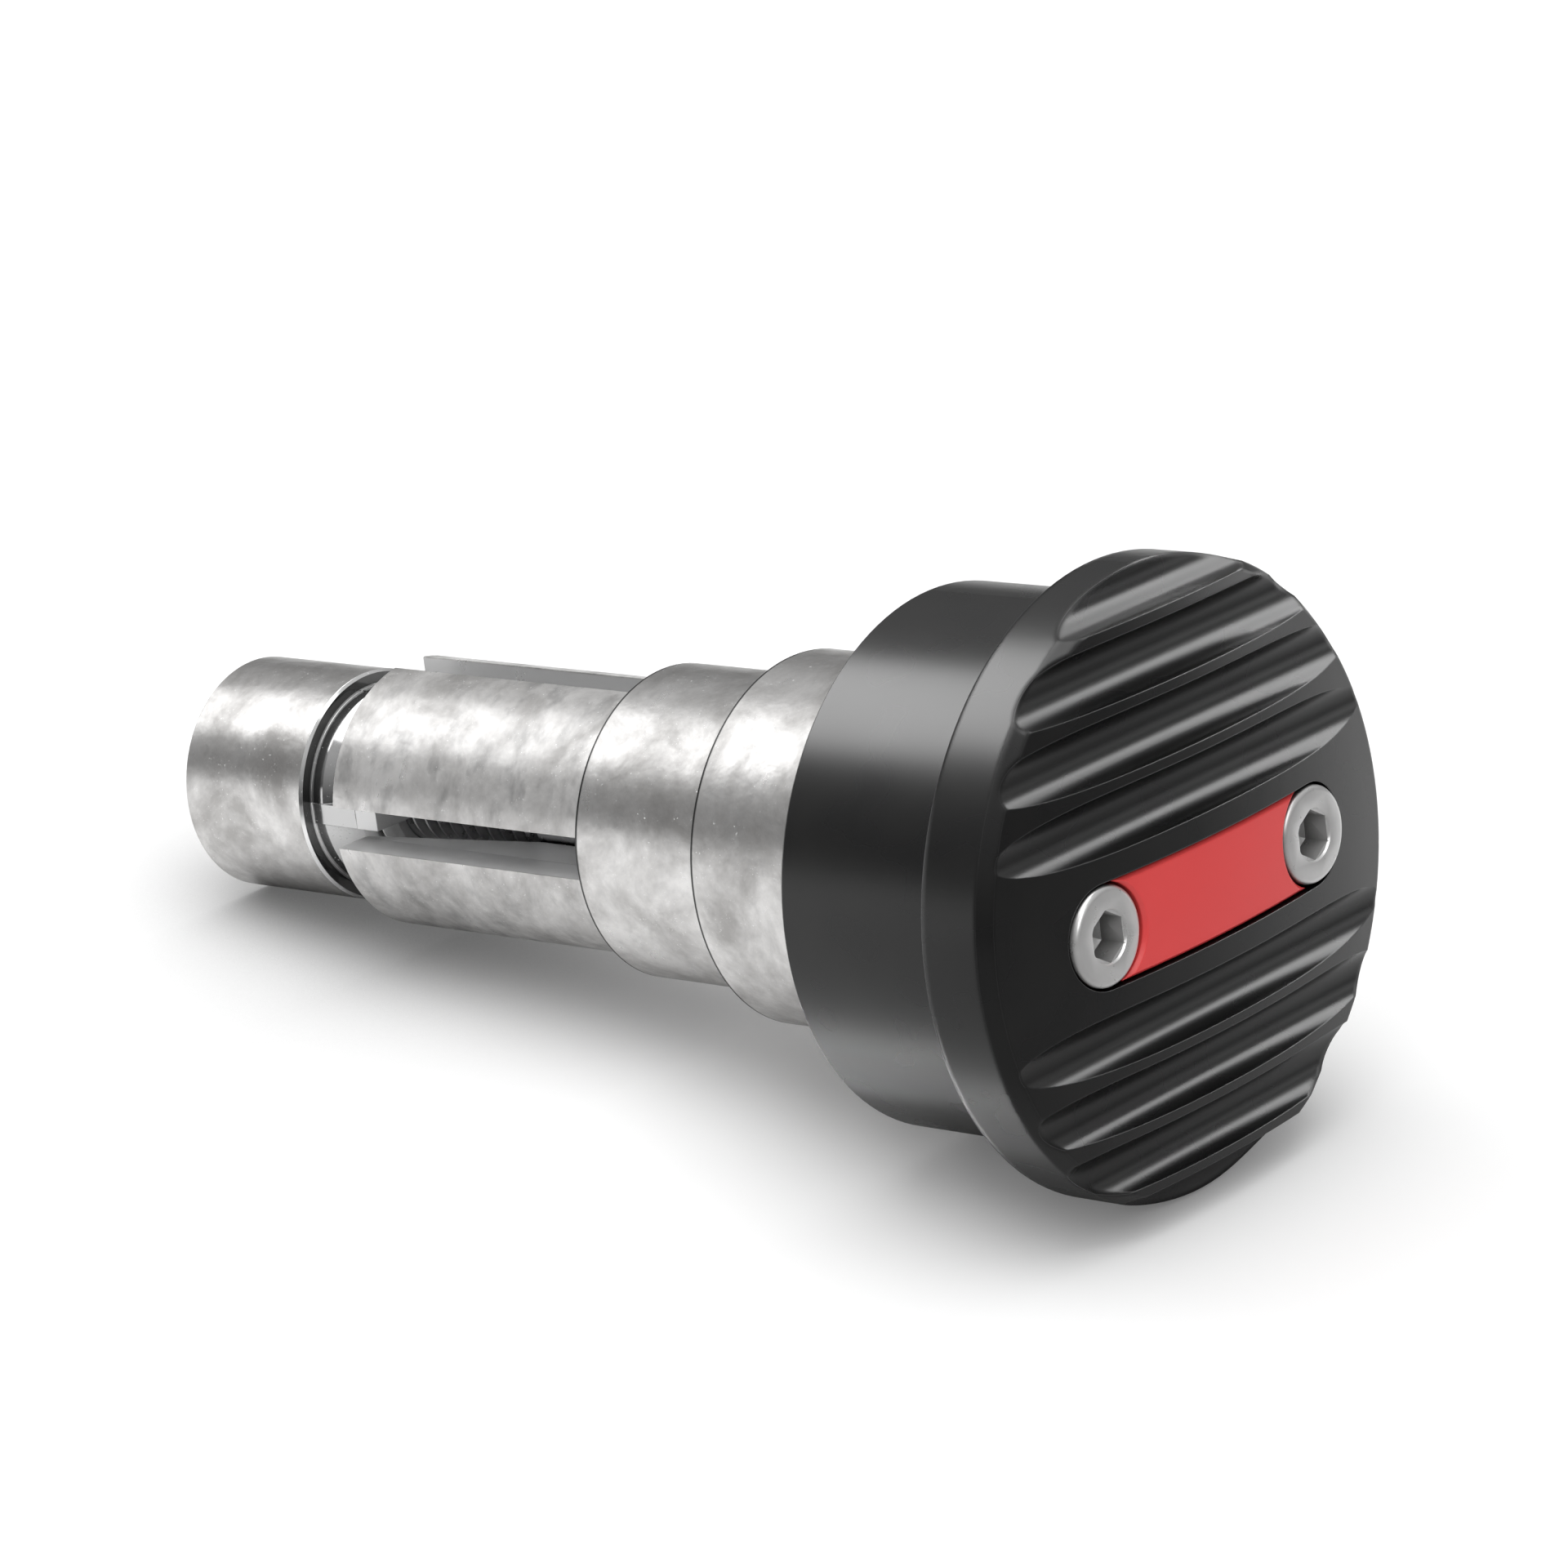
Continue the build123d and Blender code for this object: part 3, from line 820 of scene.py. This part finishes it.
class WEIGHT_OT_clamp_bolt(bpy.types.Operator):
    """Model the clamp bolt with its low head, plain shank and cut thread"""
    bl_idname = "weight.clamp_bolt"
    bl_label = "Clamp Bolt"

    def execute(self, context):
        s = sizes()
        thread_depth = 0.6134 * s.thread_pitch
        head_bevel = 0.5 * MM
        tip_chamfer = 0.25 * MM
        socket_across, socket_depth = 4 * MM, 2.3 * MM
        cone_inset, cone_depth = 0.6 * MM, 0.5 * MM
        corner = socket_across / sqrt(3)
        head_top = s.bolt_seat + s.bolt_head_height
        bolt = add_bar("threaded_bolt", s.bolt_seat, head_top, s.bolt_head_radius, 96)
        bevel_end(bolt, 1, head_bevel, 3)
        inset_end(bolt, -1, s.bolt_head_radius - s.bolt_radius)
        push_out(bolt, -1, s.bolt_seat - s.thread_start)
        inset_end(bolt, -1, thread_depth)
        push_out(bolt, -1, s.thread_start - s.bolt_tip)
        bevel_end(bolt, -1, tip_chamfer, 1)
        socket = add_bar("socket", head_top - socket_depth, head_top + CUTTER_OVERHANG, corner, 6)
        inset_end(socket, -1, cone_inset)
        bpy.ops.transform.translate(value=(-cone_depth, 0, 0))
        cut_with(bolt, socket)
        ridge = self.make_ridge(thread_depth)
        select_only(bolt)
        ridge.select_set(True)
        bpy.ops.object.join()
        zinc = make_turned_steel(
            "zinc", finishes().bolt_zinc, roughness=0.25, metallic=1.0, hollow_reach=0.5 * MM)
        bolt.data.materials.append(zinc)
        lay_down(bolt, "zinc_steel", "clamp_bolt")
        return {"FINISHED"}

    def make_ridge(self, depth):
        """The thread's ridge: one closed tooth section swept round the axis."""
        s = sizes()
        tip_clearance = 0.6 * MM
        sunk = 0.05 * MM
        half_foot = 0.46 * s.thread_pitch
        half_crest = 0.07 * s.thread_pitch
        steps = 48
        turns = int((s.thread_start - s.bolt_tip - tip_clearance) / s.thread_pitch)
        foot = s.bolt_radius - depth - sunk
        deselect_all()
        bpy.ops.mesh.primitive_plane_add(size=1, location=(0, 0, 0))
        ridge = bpy.context.object
        ridge.name = "ridge"
        bpy.ops.object.mode_set(mode="EDIT")
        bpy.ops.mesh.delete(type="ONLY_FACE")
        mesh = bmesh.from_edit_mesh(ridge.data)
        start = s.thread_start - s.thread_pitch * (turns + 0.2)
        section = {
            (-1, -1): (start - half_foot, foot),
            (1, -1): (start + half_foot, foot),
            (-1, 1): (start - half_crest, s.bolt_radius),
            (1, 1): (start + half_crest, s.bolt_radius),
        }
        for vertex in mesh.verts:
            station, height = section[(1 if vertex.co.x > 0 else -1, 1 if vertex.co.y > 0 else -1)]
            vertex.co = (station, 0, height)
        bmesh.update_edit_mesh(ridge.data)
        bpy.ops.object.mode_set(mode="OBJECT")
        sweep = ridge.modifiers.new("Thread", "SCREW")
        sweep.axis = "X"
        sweep.angle = 2 * pi
        sweep.screw_offset = s.thread_pitch
        sweep.iterations = turns
        sweep.steps = steps
        sweep.render_steps = steps
        sweep.use_smooth_shade = False
        apply_modifiers(ridge)
        bpy.ops.object.mode_set(mode="EDIT")
        bpy.ops.mesh.select_all(action="SELECT")
        bpy.ops.mesh.remove_doubles(threshold=0.1 * HAIR)
        bpy.ops.mesh.fill_holes(sides=8)
        bpy.ops.mesh.normals_make_consistent(inside=False)
        bpy.ops.object.mode_set(mode="OBJECT")
        return ridge


class WEIGHT_OT_stage(bpy.types.Operator):
    """Set the pale floor, the soft lights and the camera"""
    bl_idname = "weight.stage"
    bl_label = "Stage"

    def execute(self, context):
        self.make_floor()
        self.make_world()
        black = [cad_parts[name] for name in ("cap", "barrel")]
        face = [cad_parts["cover_plate"]] + [bpy.data.objects[name] for name in SCREW_NAMES]
        # Azimuth and elevation in degrees, sides and distance in metres, and radiance
        self.make_light("overhead_softbox", -40, 84, (0.9, 0.9), 0.9, 2.1)
        self.make_light("left_softbox", -80, 34, (0.50, 0.22), 0.8, 2.0)
        self.make_light("left_glint", -80, 42, (0.50, 0.24), 0.81, 5.5, only=black)
        self.make_light("back_softbox", 172, 37, (0.60, 0.12), 0.8, 8.0, only=black)
        self.make_light("side_card", 160, 9, (0.50, 0.20), 0.8, 2.0, only=black)
        self.make_light("table_glow", -84, -50, (0.50, 0.30), 0.8, 2.5, only=black, blocked_by=black)
        self.make_light("floor_fill", 40, 42, (0.7, 0.7), 0.9, 1.5, only=[bpy.data.objects["floor"]])
        self.make_light("front_softbox", 62, 42, (0.5, 0.5), 0.9, 2.5, only=face)
        self.make_camera()
        return {"FINISHED"}

    def make_floor(self):
        """Floor with the lamps' real shadow and a painted shadow close to the weight, plain white further
        out, and painted dull in what the cap's face reflects.
        """
        view = studio()
        deselect_all()
        bpy.ops.mesh.primitive_plane_add(size=view.floor_size, location=(0, 0, 0))
        floor = bpy.context.object
        floor.name = "floor"
        material, tree, shader = new_material("pale_floor")
        shader.inputs["Roughness"].default_value = 0.6
        shader.inputs["Specular IOR Level"].default_value = 0.1
        shader.inputs["Emission Color"].default_value = grey(1)
        rays = tree.nodes.new("ShaderNodeLightPath").outputs
        position = tree.nodes.new("ShaderNodeTexCoord").outputs["Object"]
        parts = add_node(tree, "ShaderNodeSeparateXYZ", Vector=position).outputs
        distance = add_node(tree, "ShaderNodeVectorMath", Vector=position)
        distance.operation = "LENGTH"
        far = spread(tree, distance.outputs["Value"], view.white_from, view.white_from * 3)
        glow = maths(tree, "MAXIMUM", far, view.floor_glow)
        tree.links.new(
            maths(tree, "MULTIPLY", glow, rays["Is Camera Ray"]), shader.inputs["Emission Strength"])
        # Painted shadow close to the weight, deep under its shank and faint in front of its barrel
        hidden = rest_of(tree, openness(tree, view.contact_reach, samples=8))
        under_shank = spread(tree, parts["X"], -0.020, 0.002, 0.9, 0.1)
        clear_of_painted_shadow = rest_of(tree, maths(tree, "MULTIPLY", hidden, under_shank))
        shaded = blend_colours(tree, clear_of_painted_shadow, grey(0), view.floor_colour)
        # In reflections the floor is painted dull grey towards the front, where the cap's face would mirror
        # it: a painted dark reflection
        ahead = maths(tree, "SUBTRACT", parts["X"], maths(tree, "MULTIPLY", parts["Y"], 0.6))
        dull = maths(tree, "MULTIPLY", spread(tree, ahead, 0.0, 0.06), rays["Is Glossy Ray"])
        tree.links.new(blend_colours(tree, dull, shaded, grey(0.20)), shader.inputs["Base Color"])
        floor.data.materials.append(material)

    def make_world(self):
        """Plain studio air: dark at the horizon and lighter overhead, and white to the camera."""
        world = bpy.data.worlds.new("studio_air")
        world.use_nodes = True
        bpy.context.scene.world = world
        tree = world.node_tree
        background = tree.nodes["Background"]
        rays = tree.nodes.new("ShaderNodeLightPath").outputs
        direction = tree.nodes.new("ShaderNodeTexCoord").outputs["Generated"]
        height = add_node(tree, "ShaderNodeSeparateXYZ", Vector=direction).outputs["Z"]
        colour = blend_colours(tree, spread(tree, height, 0.0, 0.7), grey(0.06), grey(0.5))
        seen = blend_colours(tree, rays["Is Camera Ray"], colour, grey(1))
        tree.links.new(seen, background.inputs["Color"])
        background.inputs["Strength"].default_value = 1.0

    def make_light(self, name, azimuth, elevation, size, distance, radiance, only=(), blocked_by=()):
        """Rectangular softbox aimed at the weight. Where some pieces are named, it lights only these,
        or only these stand in its way."""
        towards = bearing(radians(azimuth), radians(elevation))
        data = bpy.data.lights.new(name, "AREA")
        data.shape = "RECTANGLE"
        data.size, data.size_y = size
        data.energy = radiance * pi * size[0] * size[1]
        light = bpy.data.objects.new(name, data)
        if only:
            light.light_linking.receiver_collection = self.gather(name + "_lit", only)
        if blocked_by:
            light.light_linking.blocker_collection = self.gather(name + "_blocked", blocked_by)
            data.cycles.use_multiple_importance_sampling = False
        light.location = towards * distance
        light.rotation_euler = (-towards).to_track_quat("-Z", "Y").to_euler()
        bpy.context.scene.collection.objects.link(light)

    def gather(self, name, pieces):
        """A collection of the pieces, for a light to work with."""
        collection = bpy.data.collections.new(name)
        for piece in pieces:
            collection.objects.link(piece)
        return collection

    def make_camera(self):
        """Camera in the photograph's place."""
        view = studio()
        back = bearing(view.camera_azimuth, view.camera_elevation)
        data = bpy.data.cameras.new("camera")
        data.sensor_width = 36
        data.lens = view.camera_lens
        data.clip_start = 0.01
        data.clip_end = 20
        camera = bpy.data.objects.new("camera", data)
        camera.location = Vector(view.camera_target) + back * view.camera_distance
        camera.rotation_euler = (-back).to_track_quat("-Z", "Y").to_euler()
        bpy.context.scene.collection.objects.link(camera)
        bpy.context.scene.camera = camera
        bpy.context.scene.view_settings.view_transform = "Standard"


class WEIGHT_PT_panel(bpy.types.Panel):
    """The steps in order, with the sizes and colours that they use"""
    bl_idname = "WEIGHT_PT_panel"
    bl_label = "Handlebar End Weight"
    bl_space_type = "VIEW_3D"
    bl_region_type = "UI"
    bl_category = "End Weight"

    def draw(self, context):
        for step in STEPS:
            self.layout.operator(step.bl_idname)
        for group in (context.scene.weight_sizes, context.scene.weight_finishes, context.scene.weight_studio):
            box = self.layout.box()
            for name in group.__annotations__:
                box.prop(group, name)


STEPS = (
    WEIGHT_OT_black_parts,
    WEIGHT_OT_steel_parts,
    WEIGHT_OT_sleeve_core,
    WEIGHT_OT_cover_plate,
    WEIGHT_OT_plate_screws,
    WEIGHT_OT_clamp_bolt,
    WEIGHT_OT_stage,
)
GROUPS = {
    "weight_sizes": WeightSizes,
    "weight_finishes": WeightFinishes,
    "weight_studio": StudioSettings,
}


def register():
    for name, group in GROUPS.items():
        bpy.utils.register_class(group)
        setattr(bpy.types.Scene, name, bpy.props.PointerProperty(type=group))
    for step in STEPS:
        bpy.utils.register_class(step)
    bpy.utils.register_class(WEIGHT_PT_panel)


def unregister():
    bpy.utils.unregister_class(WEIGHT_PT_panel)
    for step in reversed(STEPS):
        bpy.utils.unregister_class(step)
    for name, group in GROUPS.items():
        delattr(bpy.types.Scene, name)
        bpy.utils.unregister_class(group)


def main():
    register()
    bpy.ops.weight.black_parts()
    bpy.ops.weight.steel_parts()
    bpy.ops.weight.sleeve_core()
    bpy.ops.weight.cover_plate()
    bpy.ops.weight.plate_screws()
    bpy.ops.weight.clamp_bolt()
    bpy.ops.weight.stage()


if __name__ == "__main__":
    main()
